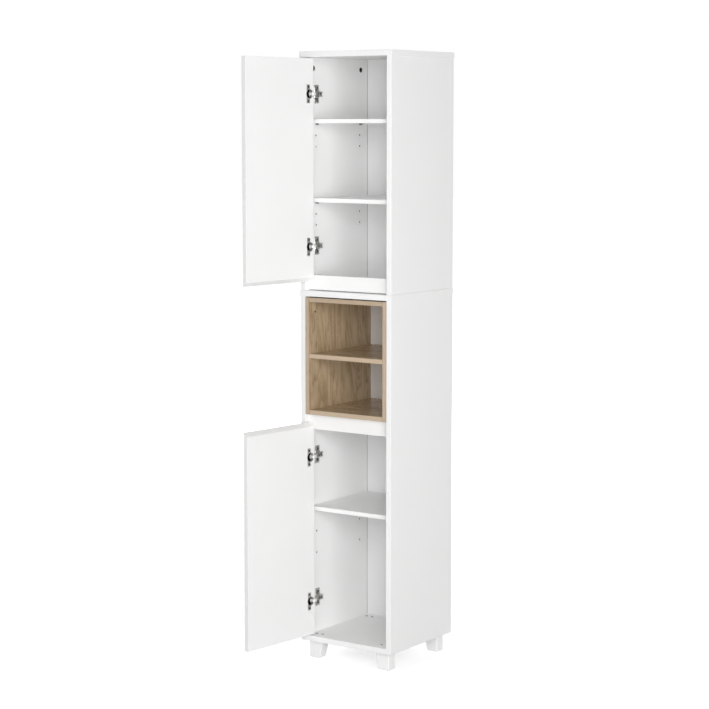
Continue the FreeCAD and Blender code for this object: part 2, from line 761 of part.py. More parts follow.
# ---- build ----
def build():
    """Make every piece, then bore the boards for what joins them."""
    fixed = (("lower_bottom_panel", base_z, front_y), ("divider_panel", divider_z, behind_rail_y),
             ("upper_bottom_panel", upper_rail_z, behind_rail_y))
    for side, word in ((-1, "left"), (1, "right")):
        make_side("lower_side_" + word, side, base_z, lower_top_z, lower_group_z, lower_hole_pitch)
        make_side("upper_side_" + word, side, seam_z, ceiling_z, upper_group_z, upper_hole_pitch)
    make_top("lower_top_panel", seam_z)
    make_top("upper_top_panel", top_z)
    for node, z0, y0 in fixed:
        make_board(node, z0, y0)
    pieces["lower_bottom_panel"] = ease_front(pieces["lower_bottom_panel"])
    make_rail("lower_rail", lower_rail_z, lower_rail_height)
    make_rail("upper_rail", upper_rail_z, upper_rail_height)
    make_back("lower_back_panel", base_z, lower_top_z)
    make_back("upper_back_panel", seam_z, ceiling_z)
    make_shelf("upper_shelf_low", "upper_low_shelf_pins", upper_group_z[0], upper_hole_pitch)
    make_shelf("upper_shelf_high", "upper_high_shelf_pins", upper_group_z[1], upper_hole_pitch)
    make_shelf("lower_shelf", "lower_shelf_pins", lower_group_z[0], lower_hole_pitch)
    make_insert()

    for side, word in ((-1, "left"), (1, "right")):
        upper_side = "upper_side_" + word
        lower_side = "lower_side_" + word
        end_joint("lower_bottom_panel", side, lower_side, base_z)
        end_joint("divider_panel", side, lower_side, divider_z)
        end_joint("upper_bottom_panel", side, upper_side, upper_rail_z)
        top_joint("lower_top_panel", lower_side, side, lower_top_z)
        top_joint("upper_top_panel", upper_side, side, ceiling_z)
        rail_joint("lower_rail", side, lower_side, lower_rail_z, lower_rail_height)
        rail_joint("upper_rail", side, upper_side, upper_rail_z, upper_rail_height)
    fix_insert()

    screws = []
    for side, word in ((-1, "left"), (1, "right")):
        screws += make_foot("foot_front_" + word, side, -1)
        screws += make_foot("foot_rear_" + word, side, 1)
    pieces["foot_screws"] = group(screws)

    for word, bevel_low in (("upper", True), ("lower", False)):
        make_door(word, bevel_low)
        make_hinges(word, word + "_side_left")

    join_cabinets()
    nails = nail_back("lower_back_panel", "lower_bottom_panel", base_z)
    nails += nail_back("lower_back_panel", "divider_panel", divider_z)
    nails += nail_back("upper_back_panel", "upper_bottom_panel", upper_rail_z)
    pieces["back_panel_nails"] = group(nails)
    pieces["cam_locks"] = group(cams)
    pieces["cam_bolts"] = group(bolts)
    pieces["dowels"] = group(dowels)


def ease_front(panel):
    """Round the two long front edges of a board that stands flush with the sides."""
    front = [edge for edge in panel.Edges if edge.BoundBox.YMax < front_y + edge_round
             and edge.BoundBox.XLength > board]
    return panel.makeFillet(edge_round, front)


def rail_joint(node, side, cabinet_side, z0, height):
    """Two dowels from a rail's end into the side."""
    y = rail_y + board / 2
    for z in (z0 + rail_dowel_inset, z0 + height - rail_dowel_inset):
        start = (side * (inner_x - dowel_in_end), y, z)
        end = (side * (inner_x + dowel_in_face), y, z)
        add_dowel(rail_dowel_radius, start, end, node, cabinet_side)


def export():
    """Write one file for each node."""
    os.makedirs("parts", exist_ok=True)
    for node, shape in sorted(pieces.items()):
        shape.exportStep("parts/" + node + ".step")
        print(node, len(shape.Solids), shape.isValid(), round(shape.Volume / 1000, 3))


build()
export()
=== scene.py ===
import json
import math

import bmesh
import bpy
import numpy as np
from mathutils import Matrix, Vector


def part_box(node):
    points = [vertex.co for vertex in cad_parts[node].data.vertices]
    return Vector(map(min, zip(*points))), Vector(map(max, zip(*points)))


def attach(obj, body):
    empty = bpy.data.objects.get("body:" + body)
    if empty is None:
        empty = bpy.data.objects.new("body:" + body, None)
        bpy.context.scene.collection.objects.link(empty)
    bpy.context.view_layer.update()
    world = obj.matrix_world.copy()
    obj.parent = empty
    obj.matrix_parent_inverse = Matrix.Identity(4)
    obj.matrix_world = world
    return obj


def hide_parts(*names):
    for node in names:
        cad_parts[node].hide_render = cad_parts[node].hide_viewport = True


MM = 0.001

# ---- camera, as fitted to the photograph's edges ----
PICTURE = 709                       # pixels, both ways
FOCAL_PIXELS = 2010.1
DROP_PIXELS = 20.4                  # how far the lens is shifted down, besides the tilt
EYE = (3.2596, -4.7705, 1.5497)
HEADING = 34.995                    # degrees, turned left from looking along +Y
TILT = 6.0                          # degrees, looking down
SENSOR = 36.0                       # mm
CAMERA_REACH = 60.0                 # m

# ---- light and floor ----
SKY_LEVEL = 0.225                   # what lights the object; the camera sees the sky as white
WHITE = (1.0, 1.0, 1.0, 1.0)
LAMP_TARGET = (0, 0, 0.9)
LAMPS = {                           # place, width and height, watts
    "right_soft": ((3.8, -3.3, 1.4), (3.0, 2.8), 124),
    "front_soft": ((2.6, -4.2, 1.7), (2.4, 3.0), 85),
    "rear_soft": ((-3.6, 3.4, 3.0), (3.4, 3.0), 160)}
FLOOR_HALF = 30.0
FLOOR_DROP = 0.2 * MM               # the floor lies this far under the feet's soles
FLOOR_GREY = (0.72, 0.72, 0.72, 1)
FLOOR_ROUGH = 0.9
FLOOR_SPECULAR = 0.1
FLOOR_GLOW = (0.63, 0.98)           # near the object and far from it, as the camera sees it
FLOOR_GLOW_REACH = (0.9, 5.0)       # metres from the object

# ---- colours, linear ----
BOARD_WHITE = (0.925, 0.925, 0.922, 1)
BACK_WHITE = (0.905, 0.907, 0.908, 1)
FOOT_WHITE = (0.94, 0.94, 0.938, 1)
SEAM_GREY = (0.45, 0.43, 0.40, 1)
# bare core, darkened near black: painted shade in deep, narrow holes and grooves; the darker one also paints the
# shade in a back panel's corner
SHADED_CORE_DARK = (0.03, 0.02, 0.013, 1)
SHADED_CORE_LIGHT = (0.12, 0.083, 0.052, 1)
HARDBOARD_DARK = (0.17, 0.10, 0.055, 1)
HARDBOARD_LIGHT = (0.30, 0.19, 0.11, 1)
OAK_DARK = (0.33, 0.231, 0.138, 1)
OAK_MIDDLE = (0.485, 0.36, 0.225, 1)
OAK_LIGHT = (0.595, 0.465, 0.31, 1)
OAK_BAND = (0.54, 0.42, 0.305)
# painted shade along the edges of the oak bands
OAK_EDGE_SHADE = (0.24, 0.165, 0.10, 1)
OAK_PORE = (0.115, 0.066, 0.034, 1)
# painted shade in the gap over the oak top board
OAK_GAP_SHADE = (0.10, 0.07, 0.05, 1)
NICKEL = (0.68, 0.67, 0.65, 1)
# painted highlight: the hinge arm's neck, nearly white and barely metallic
NECK_HIGHLIGHT_NICKEL = (0.86, 0.855, 0.84, 1)
# painted shade deep in a hinge cup's hollow
CUP_SHADE_BLACK = (0.022, 0.022, 0.022, 1)
# pins darkened as painted shade and dark reflection
SHADED_PIN_STEEL = (0.24, 0.24, 0.235, 1)
# near black: painted shade on the cams in their bores and on the foot screws
SHADED_ZINC = (0.03, 0.029, 0.028, 1)
SCREW_STEEL = (0.17, 0.168, 0.165, 1)
# dark brown screw heads in the oak boards
DARK_BROWN_SCREW = (0.07, 0.04, 0.028, 1)

# ---- film and core of the boards; a pair is where an effect starts and where it ends ----
BARE_DEPTH = (0.35 * MM, 0.55 * MM)     # under a board's faces, where its bare core sets in
CORE_ROUGH = 0.8
CORE_SHARES = {"coarse": 0.6, "fine": 0.5}      # of the flakes, in tone and height
FILM_SPECULAR = 0.42
FILM_CLOUD = 0.012                  # how much the film's tone strays each way
FILM_SPREAD = 0.10                  # how much its roughness does, from least to most
PEARL_SHARE = 0.25                  # height of the film's pearl, beside the core's flakes
GLUE_LINE = (0.75 * MM, 0.95 * MM, 1.15 * MM)   # of the edge band, in from a board's edge
GLUE_SHARE = 0.12
CORNER_SHADE = (2.0 * MM, 0.5 * MM)  # painted shade in a back panel's corner, from the side's inner face
CORNER_SHADE_SHARE = 0.7
RAW_DEPTH = (0.4 * MM, 0.2 * MM)    # raw hardboard, under a back panel's rear face
LACQUER_SPREAD = 0.12

# ---- oak boards ----
LEVEL_BANDS_PAINTED_LIGHT = {"insert_top": 0.88, "insert_shelf": 1.12, "insert_bottom": 1.04}   # painted light and shade on the front bands of the level boards
BAND_DEPTH = (0.2 * MM, 0.4 * MM)   # pale front band, under the front face
BAND_SHARE = 0.72
BAND_LEAST = 0.1                    # share of the band at which a point counts as on it
BORDER_SHADE = (0.5 * MM, 1.6 * MM)       # painted shade along the band's edge, in from the board's edge
BORDER_SHADE_SHARE = 0.55
GAP_SHADE_DEPTH = (0.3 * MM, 0.1 * MM)    # painted shade of the gap over the top board, under its upper face
OAK_SPECULAR = 0.5
OAK_ROUGH = 0.27
PORE_ROUGH = 0.24                   # how much rougher the pores are
GRAIN_STEP = (0.37, 0.21)           # from one piece of the grain to the next, across it
GRAIN_PIECES = 17
GRAIN_SHARES = {"rings": 0.13, "cloud": 0.38, "fibre": 0.36, "fine": 0.26}
GRAIN_RANGE = (0.38, 0.76)          # of their sum, from the darkest wood to the palest
RELIEF_SHARE = 0.3                  # height of the pale wood, beside the depth of the pores
RING_COUNT = 17.0                   # contour lines between the noise's 0 and 1
RING_RISE = (0.0, 0.25)             # within one ring, from its dark line to the next
RING_FALL = (0.45, 1.0)
RING_REST = 0.3                     # what is left at the end of the fall
DARK_TO_MIDDLE = (0.0, 0.5)         # where the wood's colours change, from its darkest to palest
MIDDLE_TO_LIGHT = (0.42, 1.0)
PORE_EDGE = (0.58, 0.68)
PORE_SHARE = 0.5
PORE_PALE = (0.1, 0.7)              # pores fade from dark wood to pale
PORE_REST = 0.5                     # what is left of them in pale wood
KNOT_EDGE = (0.012, 0.034)          # from a knot's middle, as a share of the knots' spacing
KNOT_SHARE = 0.55

# ---- hinges: finishes ----
SMEAR_TONE = 0.30                   # how much a smear changes the metal's tone, from least to most
SMEAR_DULL = 0.18                   # and its roughness
NECK_HIGHLIGHT_END = (25.0 * MM, 29.0 * MM)   # behind the side's front edge: from the neck's painted highlight to the channel
CUP_RIM = 1.5 * MM                  # flange rim and wall round the cup's hollow
CUP_SHADE_DEPTH = (6.0 * MM, 8.0 * MM)     # under the cup's flange, where the painted shade of the hollow sets in
CUP_SHADE_SOFT = 0.1 * MM              # width over which that painted shade ends at the hollow's wall

# ---- hinges: stamped mounting plates ----
PLATE_SHEET = 2.2 * MM
PLATE_CORNER = 4.0 * MM
PLATE_ROUND = 0.8 * MM              # rounding of the sheet's upper edge
BEAD_IN = 2.1 * MM                  # stamped bead, from the outline to its middle
BEAD_HALF = 0.9 * MM
BEAD_HEIGHT = 0.45 * MM
SADDLE_HEIGHT = 4.4 * MM
SADDLE_HALF = 10.0 * MM
SADDLE_IN = 1.4 * MM                # saddle, in from the plate's long edges
RIDGE_HALF = 4.5 * MM
RIDGE_IN = 1.3 * MM
STEP_SOFT = 0.9 * MM                # width over which a stamped step rises
PLATE_ROWS = 131
PLATE_COLUMNS = 59
SHARP_ANGLE = 50                    # degrees between two faces, past which their edge is sharp

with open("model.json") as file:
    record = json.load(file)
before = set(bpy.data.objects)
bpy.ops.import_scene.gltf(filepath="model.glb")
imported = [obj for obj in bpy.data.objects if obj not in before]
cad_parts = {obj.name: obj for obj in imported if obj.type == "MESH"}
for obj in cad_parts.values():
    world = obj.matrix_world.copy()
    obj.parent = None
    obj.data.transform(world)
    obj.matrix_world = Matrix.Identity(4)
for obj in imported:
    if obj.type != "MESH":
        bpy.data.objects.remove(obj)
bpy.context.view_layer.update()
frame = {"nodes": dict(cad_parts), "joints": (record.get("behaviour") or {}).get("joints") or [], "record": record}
nodes = frame["nodes"]
swing = next(j for j in frame["joints"] if j["name"] == "upper_door_hinge")
OPEN_ANGLE = math.radians(swing["range_deg"][1])
PIVOT = Vector((swing["pos_m"][0], swing["pos_m"][1], 0))
SIDE_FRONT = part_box("upper_side_left")[0].y
SIDE_INNER = -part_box("upper_side_left")[1].x    # inner face, from the middle of the cabinet


# ---- node groups ----
class Net:
    """Places and wires the nodes of one material or group. A value is a plain number or
    colour, or the output of another node."""

    def __init__(self, tree):
        self.tree = tree

    def add(self, kind, **settings):
        node = self.tree.nodes.new(kind)
        for name, value in settings.items():
            setattr(node, name, value)
        return node

    def wire(self, source, target):
        self.tree.links.new(source, target)

    def put(self, socket, value):
        """Link an output into the socket, or set its plain value."""
        if isinstance(value, bpy.types.NodeSocket):
            self.wire(value, socket)
        else:
            socket.default_value = value

    def maths(self, operation, first, second=0.0, third=None):
        node = self.add("ShaderNodeMath", operation=operation)
        self.put(node.inputs[0], first)
        self.put(node.inputs[1], second)
        if third is not None:
            self.put(node.inputs[2], third)
        return node.outputs[0]

    def about(self, share, middle, spread):
        """Half the spread under the middle where the share is 0, and half over it at 1."""
        return self.maths("MULTIPLY_ADD", share, spread, middle - spread / 2)

    def vector(self, operation, first, second):
        node = self.add("ShaderNodeVectorMath", operation=operation)
        self.put(node.inputs[0], first)
        self.put(node.inputs[1], second)
        return node.outputs["Vector"]

    def length(self, place):
        node = self.add("ShaderNodeVectorMath", operation="LENGTH")
        self.wire(place, node.inputs[0])
        return node.outputs["Value"]

    def axes(self, place):
        """The three coordinates of a place, or the three parts of a colour."""
        node = self.add("ShaderNodeSeparateXYZ")
        self.wire(place, node.inputs[0])
        return node.outputs

    def mapped(self, place, scale=(1, 1, 1), turn=(0, 0, 0), shift=(0, 0, 0)):
        node = self.add("ShaderNodeMapping")
        self.put(node.inputs["Vector"], place)
        node.inputs["Scale"].default_value = scale
        node.inputs["Rotation"].default_value = turn
        node.inputs["Location"].default_value = shift
        return node.outputs["Vector"]

    def ramp(self, value, low, high, to_low=0.0, to_high=1.0):
        """Smooth step from to_low to to_high as the value goes from low to high."""
        node = self.add("ShaderNodeMapRange", interpolation_type="SMOOTHSTEP")
        self.put(node.inputs["Value"], value)
        self.put(node.inputs["From Min"], low)
        self.put(node.inputs["From Max"], high)
        self.put(node.inputs["To Min"], to_low)
        self.put(node.inputs["To Max"], to_high)
        return node.outputs["Result"]

    def noise(self, place, scale, detail=3.0, roughness=0.5, distortion=0.0, along=1.0):
        """Noise of the given scale per metre; along is the share of it that holds along Z."""
        if along != 1.0:
            place = self.mapped(place, (1, 1, along))
        node = self.add("ShaderNodeTexNoise")
        self.put(node.inputs["Vector"], place)
        self.put(node.inputs["Scale"], scale)
        self.put(node.inputs["Detail"], detail)
        self.put(node.inputs["Roughness"], roughness)
        self.put(node.inputs["Distortion"], distortion)
        return node.outputs["Fac"]

    def cells(self, place, scale, along):
        """Cells, each with a colour and the distance to its middle; along is as for noise."""
        node = self.add("ShaderNodeTexVoronoi", feature="F1")
        self.put(node.inputs["Vector"], self.mapped(place, (1, 1, along)))
        self.put(node.inputs["Scale"], scale)
        return node.outputs

    def blend(self, share, first, second):
        node = self.add("ShaderNodeMix", data_type="RGBA")
        self.put(node.inputs["Factor"], share)
        self.put(node.inputs["A"], first)
        self.put(node.inputs["B"], second)
        return node.outputs["Result"]

    def tinted(self, colour, tone):
        """The colour times a tone that varies."""
        node = self.add("ShaderNodeVectorMath", operation="SCALE")
        self.put(node.inputs[0], colour)
        self.wire(tone, node.inputs["Scale"])
        return node.outputs["Vector"]


def new_group(name, inputs, outputs):
    """Empty shader group with the named sockets; returns its net, inputs and outputs."""
    tree = bpy.data.node_groups.new(name, "ShaderNodeTree")
    for label, kind, value in inputs:
        socket = tree.interface.new_socket(label, in_out="INPUT", socket_type=kind)
        if value is not None:
            socket.default_value = value
    for label, kind in outputs:
        tree.interface.new_socket(label, in_out="OUTPUT", socket_type=kind)
    net = Net(tree)
    return net, net.add("NodeGroupInput").outputs, net.add("NodeGroupOutput").inputs


def make_depth_group():
    """Depth of a point under the faces of a board's box: the least of its distances to
    the three pairs of faces, and the middle one, which is the distance to the nearest
    edge for a point on a face."""
    net, given, result = new_group(
        "board_depth",
        [("Place", "NodeSocketVector", None), ("Low", "NodeSocketVector", None),
         ("High", "NodeSocketVector", None)],
        [("Least", "NodeSocketFloat"), ("Middle", "NodeSocketFloat")])
    from_low = net.vector("SUBTRACT", given["Place"], given["Low"])
    from_high = net.vector("SUBTRACT", given["High"], given["Place"])
    x, y, z = net.axes(net.vector("MINIMUM", from_low, from_high))
    low_xy = net.maths("MINIMUM", x, y)
    high_xy = net.maths("MAXIMUM", x, y)
    least = net.maths("MINIMUM", low_xy, z)
    middle = net.maths("MAXIMUM", low_xy, net.maths("MINIMUM", high_xy, z))
    net.wire(least, result["Least"])
    net.wire(middle, result["Middle"])
    return net.tree


def make_core_group():
    """Bare chipboard: coarse and fine flakes, as seen in a drilled hole or a groove, in colours darkened near
    black as painted shade of the hole.
    """
    net, given, result = new_group(
        "bare_core_painted_shade", [("Place", "NodeSocketVector", None)],
        [("Color", "NodeSocketColor"), ("Height", "NodeSocketFloat")])
    coarse = net.axes(net.cells(given["Place"], scale=900, along=2.2)["Color"])["X"]
    fine = net.noise(given["Place"], scale=2500, detail=2)
    mixed = net.maths("MULTIPLY_ADD", fine, CORE_SHARES["fine"],
                      net.maths("MULTIPLY", coarse, CORE_SHARES["coarse"]))
    net.wire(net.blend(mixed, SHADED_CORE_DARK, SHADED_CORE_LIGHT), result["Color"])
    net.wire(mixed, result["Height"])
    return net.tree


def make_film_group():
    """Printed film on a board: a faint cloud of tone and the fine pearl of the press plate."""
    net, given, result = new_group(
        "film_surface",
        [("Place", "NodeSocketVector", None), ("Cloud", "NodeSocketFloat", FILM_CLOUD)],
        [("Tone", "NodeSocketFloat"), ("Pearl", "NodeSocketFloat"), ("Dull", "NodeSocketFloat")])
    cloud = net.about(net.noise(given["Place"], scale=9, detail=4, roughness=0.55), 0.0, 2.0)
    net.wire(net.maths("MULTIPLY_ADD", cloud, given["Cloud"], 1.0), result["Tone"])
    net.wire(net.noise(given["Place"], scale=1400, detail=2, roughness=0.6), result["Pearl"])
    net.wire(net.noise(given["Place"], scale=22, detail=3, roughness=0.6), result["Dull"])
    return net.tree


def make_oak_group():
    """Oak grain along the Z axis of Place: growth rings are the contour lines of a stretched
    noise, dark at each line and paler beyond it. Fine fibres, a wide cloud of tone, short
    dark pores and a few small knots lie over them."""
    net, given, result = new_group(
        "oak_grain", [("Place", "NodeSocketVector", None)],
        [("Color", "NodeSocketColor"), ("Pores", "NodeSocketFloat"), ("Band", "NodeSocketFloat")])
    place = given["Place"]
    hill = net.noise(place, scale=8.5, detail=3.5, distortion=0.5, along=0.17)
    ring = net.maths("FRACT", net.maths("MULTIPLY", hill, RING_COUNT))
    late = net.maths("MULTIPLY", net.ramp(ring, *RING_RISE),
                     net.ramp(ring, *RING_FALL, 1.0, RING_REST))
    cloud = net.noise(place, scale=24, detail=5, roughness=0.65, along=0.4)
    fibre = net.noise(place, scale=330, detail=4, roughness=0.7, along=0.045)
    fine = net.noise(place, scale=900, detail=2, roughness=0.7, along=0.09)
    wide = net.maths("MULTIPLY_ADD", late, GRAIN_SHARES["rings"],
                     net.maths("MULTIPLY", cloud, GRAIN_SHARES["cloud"]))
    narrow = net.maths("MULTIPLY_ADD", fibre, GRAIN_SHARES["fibre"],
                       net.maths("MULTIPLY", fine, GRAIN_SHARES["fine"]))
    share = net.ramp(net.maths("ADD", wide, narrow), *GRAIN_RANGE)
    colour = net.blend(net.ramp(share, *DARK_TO_MIDDLE), OAK_DARK, OAK_MIDDLE)
    colour = net.blend(net.ramp(share, *MIDDLE_TO_LIGHT), colour, OAK_LIGHT)
    pores = net.noise(place, scale=1100, detail=2, roughness=0.7, along=0.08)
    dark = net.maths("MULTIPLY", net.ramp(pores, *PORE_EDGE),
                     net.ramp(share, *PORE_PALE, 1.0, PORE_REST))
    to_knot = net.cells(place, scale=5.2, along=0.42)["Distance"]
    knot = net.ramp(to_knot, *KNOT_EDGE, KNOT_SHARE, 0.0)
    shaded = net.maths("MAXIMUM", net.maths("MULTIPLY", dark, PORE_SHARE), knot)
    net.wire(net.blend(shaded, colour, OAK_PORE), result["Color"])
    net.wire(dark, result["Pores"])
    net.wire(share, result["Band"])
    return net.tree


def make_metal_group():
    """Plated sheet: soft smears of dullness and short brush lines along one axis."""
    net, given, result = new_group(
        "plated_metal", [("Place", "NodeSocketVector", None), ("Dull", "NodeSocketFloat", 0.3)],
        [("Tone", "NodeSocketFloat"), ("Roughness", "NodeSocketFloat"),
         ("Height", "NodeSocketFloat")])
    smear = net.noise(given["Place"], scale=160, detail=3, roughness=0.6)
    lines = net.noise(given["Place"], scale=2600, detail=2, roughness=0.6, along=0.05)
    net.wire(net.about(smear, 1.0, SMEAR_TONE), result["Tone"])
    net.wire(net.maths("ADD", given["Dull"], net.about(smear, 0.0, SMEAR_DULL)),
             result["Roughness"])
    net.wire(lines, result["Height"])
    return net.tree


GROUPS = {"depth": make_depth_group(), "core": make_core_group(), "film": make_film_group(),
          "oak": make_oak_group(), "metal": make_metal_group()}


# ---- materials ----
def start_material(name):
    """Material with a Principled shader; returns it, its net and the shader."""
    material = bpy.data.materials.new(name)
    material.use_nodes = True
    net = Net(material.node_tree)
    return material, net, material.node_tree.nodes["Principled BSDF"]


def use_group(net, name, **values):
    node = net.add("ShaderNodeGroup", node_tree=GROUPS[name])
    for label, value in values.items():
        net.put(node.inputs[label], value)
    return node.outputs


def own_place(net, is_door):
    """Object coordinates, turned back to the shut door's axes for a door's pieces."""
    place = net.add("ShaderNodeTexCoord").outputs["Object"]
    if not is_door:
        return place
    centred = net.vector("SUBTRACT", place, tuple(PIVOT))
    turned = net.mapped(centred, turn=(0, 0, OPEN_ANGLE))
    return net.vector("ADD", turned, tuple(PIVOT))


def bumped(net, shader, height, strength, distance):
    bump = net.add("ShaderNodeBump")
    bump.inputs["Strength"].default_value = strength
    bump.inputs["Distance"].default_value = distance
    net.put(bump.inputs["Height"], height)
    net.wire(bump.outputs["Normal"], shader.inputs["Normal"])


def shut_box(node, is_door):
    """Low and high corner of a board in its own axes, with a door turned shut."""
    vertices = nodes[node].data.vertices
    co = np.empty(3 * len(vertices), np.float32)
    vertices.foreach_get("co", co)
    co = co.reshape(-1, 3).astype(float)
    if is_door:
        c, s = math.cos(OPEN_ANGLE), math.sin(OPEN_ANGLE)
        x, y = co[:, 0] - PIVOT.x, co[:, 1] - PIVOT.y
        co[:, 0] = PIVOT.x + x * c - y * s
        co[:, 1] = PIVOT.y + x * s + y * c
    return tuple(co.min(0)), tuple(co.max(0))


def white_board(node, colour=BOARD_WHITE, rough=0.46, raw_rear=False):
    """White film on chipboard, with banded edges and bare core in its holes and grooves, darkened
    as painted shade; a door shows no core, because its bevelled edge lies deep in its box. A
    back panel's rear is raw hardboard, and its front has painted shade, a dark line where it
    meets a side."""
    is_door = node.endswith("_door")
    material, net, shader = start_material("white_film_" + node)
    place = own_place(net, is_door)
    low, high = shut_box(node, is_door)
    depth = use_group(net, "depth", Place=place, Low=low, High=high)
    film = use_group(net, "film", Place=place)
    core = use_group(net, "core", Place=place)
    start, middle, end = GLUE_LINE
    seam = net.maths("SUBTRACT", net.ramp(depth["Middle"], start, middle),
                     net.ramp(depth["Middle"], middle, end))
    white = net.tinted(colour[:3], film["Tone"])
    white = net.blend(net.maths("MULTIPLY", seam, GLUE_SHARE), white, SEAM_GREY)
    # bare core in holes and grooves, dark as painted shade
    bare = 0.0 if is_door else net.ramp(depth["Least"], *BARE_DEPTH)
    shown = net.blend(bare, white, core["Color"])
    if raw_rear:
        axes = net.axes(place)
        # painted shade: a dark line in the corner where the panel meets a side
        corner = net.ramp(net.maths("ABSOLUTE", axes["X"]),
                          SIDE_INNER - CORNER_SHADE[0], SIDE_INNER - CORNER_SHADE[1])
        shown = net.blend(net.maths("MULTIPLY", corner, CORNER_SHADE_SHARE), shown, SHADED_CORE_DARK)
        rear = net.ramp(axes["Y"], high[1] - RAW_DEPTH[0], high[1] - RAW_DEPTH[1])
        fibres = net.noise(place, scale=650, detail=4, roughness=0.7)
        shown = net.blend(rear, shown, net.blend(fibres, HARDBOARD_DARK, HARDBOARD_LIGHT))
        bare = net.maths("MAXIMUM", bare, rear)
    net.wire(shown, shader.inputs["Base Color"])
    dull = net.about(film["Dull"], rough, FILM_SPREAD)
    net.wire(net.maths("MAXIMUM", dull, net.maths("MULTIPLY", bare, CORE_ROUGH)),
             shader.inputs["Roughness"])
    shader.inputs["Specular IOR Level"].default_value = FILM_SPECULAR
    pearl = net.maths("MULTIPLY", film["Pearl"], PEARL_SHARE)
    height = net.maths("MULTIPLY_ADD", bare, core["Height"], pearl)
    bumped(net, shader, height, strength=0.25, distance=0.05 * MM)
    return material


def oak_board(node):
    """Oak-printed film, its grain along X on the level boards and along Z on the others, each
    with its own piece of the grain. The front edge has a paler band, each level board's band
    lighter or darker as painted light and shade, with a dark border of painted shade; the top
    board's hidden upper face is painted dark as shade of the gap over it."""
    material, net, shader = start_material("oak_film_" + node)
    place = own_place(net, False)
    low, high = shut_box(node, False)
    turn = (0, math.pi / 2, 0) if node in LEVEL_BANDS_PAINTED_LIGHT else (0, 0, 0)
    piece = sum(ord(letter) for letter in node) % GRAIN_PIECES
    shift = (GRAIN_STEP[0] * piece, GRAIN_STEP[1] * piece, 0)
    grain = use_group(net, "oak", Place=net.mapped(place, turn=turn, shift=shift))
    depth = use_group(net, "depth", Place=place, Low=low, High=high)
    core = use_group(net, "core", Place=place)
    axes = net.axes(place)
    front = net.ramp(axes["Y"], low[1] + BAND_DEPTH[0], low[1] + BAND_DEPTH[1], BAND_SHARE, 0.0)
    # painted light and shade: each level board's band paler or darker
    band = tuple(LEVEL_BANDS_PAINTED_LIGHT.get(node, 1.0) * part for part in OAK_BAND) + (1,)
    shown = net.blend(front, grain["Color"], band)
    # painted shade: dark border along the band's edges
    edge_shade = net.ramp(depth["Middle"], *BORDER_SHADE, BORDER_SHADE_SHARE, 0.0)
    on_band = net.maths("GREATER_THAN", front, BAND_LEAST)
    shown = net.blend(net.maths("MULTIPLY", edge_shade, on_band), shown, OAK_EDGE_SHADE)
    # painted shade of the gap over the top board, on its upper face
    if node == "insert_top":
        upper = net.ramp(axes["Z"], high[2] - GAP_SHADE_DEPTH[0], high[2] - GAP_SHADE_DEPTH[1])
        shown = net.blend(upper, shown, OAK_GAP_SHADE)
    bare = net.ramp(depth["Least"], *BARE_DEPTH)
    net.wire(net.blend(bare, shown, core["Color"]), shader.inputs["Base Color"])
    net.wire(net.maths("MULTIPLY_ADD", grain["Pores"], PORE_ROUGH, OAK_ROUGH),
             shader.inputs["Roughness"])
    shader.inputs["Specular IOR Level"].default_value = OAK_SPECULAR
    relief = net.maths("MULTIPLY", grain["Band"], RELIEF_SHARE)
    height = net.maths("MULTIPLY_ADD", grain["Pores"], -1.0, relief)
    bumped(net, shader, height, strength=0.4, distance=0.10 * MM)
    return material


def painted_neck_highlight(net, place):
    """Share of the painted highlight on a hinge arm: all of the neck, none of the channel."""
    return net.ramp(net.axes(place)["Y"], SIDE_FRONT + NECK_HIGHLIGHT_END[0], SIDE_FRONT + NECK_HIGHLIGHT_END[1],
                    1.0, 0.0)


def cup_shade_of(node):
    """Function that gives the share of a hinge cup's painted shade, a dark lining: nearer to the
    cup's axis than the hollow's radius, and deeper than where that shade sets in, in the shut
    door's axes."""
    low, high = shut_box(node, True)
    centre = ((low[0] + high[0]) / 2, 0, (low[2] + high[2]) / 2)
    radius = (high[0] - low[0]) / 2 - CUP_RIM

    def share(net, place):
        from_axis = net.vector("MULTIPLY", net.vector("SUBTRACT", place, centre), (1, 0, 1))
        inside = net.ramp(net.length(from_axis), radius, radius + CUP_SHADE_SOFT, 1.0, 0.0)
        deep = net.ramp(net.axes(place)["Y"], high[1] - CUP_SHADE_DEPTH[1],
                        high[1] - CUP_SHADE_DEPTH[0], 1.0, 0.0)
        return net.maths("MULTIPLY", inside, deep)

    return share


def metal(name, colour, dull, second=None, share=None, is_door=False, highlight_diffuse=0.0):
    """Plated or cast metal. Where a second colour is given, share(net, place) says how much
    of it shows, and the diffuse share says how much less metallic it is there, which paints
    a highlight."""
    material, net, shader = start_material(name)
    place = own_place(net, is_door)
    plated = use_group(net, "metal", Place=place, Dull=dull)
    shader.inputs["Metallic"].default_value = 1.0
    shown = colour[:3]
    if share:
        part = share(net, place)
        shown = net.blend(part, colour, second)
        if highlight_diffuse:
            net.wire(net.maths("MULTIPLY_ADD", part, -highlight_diffuse, 1.0), shader.inputs["Metallic"])
    net.wire(net.tinted(shown, plated["Tone"]), shader.inputs["Base Color"])
    net.wire(plated["Roughness"], shader.inputs["Roughness"])
    bumped(net, shader, plated["Height"], strength=0.2, distance=0.02 * MM)
    return material


def painted(name, colour, rough):
    """Smooth white lacquer with a faint orange peel."""
    material, net, shader = start_material(name)
    film = use_group(net, "film", Place=own_place(net, False))
    net.wire(net.tinted(colour[:3], film["Tone"]), shader.inputs["Base Color"])
    net.wire(net.about(film["Dull"], rough, LACQUER_SPREAD), shader.inputs["Roughness"])
    bumped(net, shader, film["Pearl"], strength=0.2, distance=0.05 * MM)
    return material


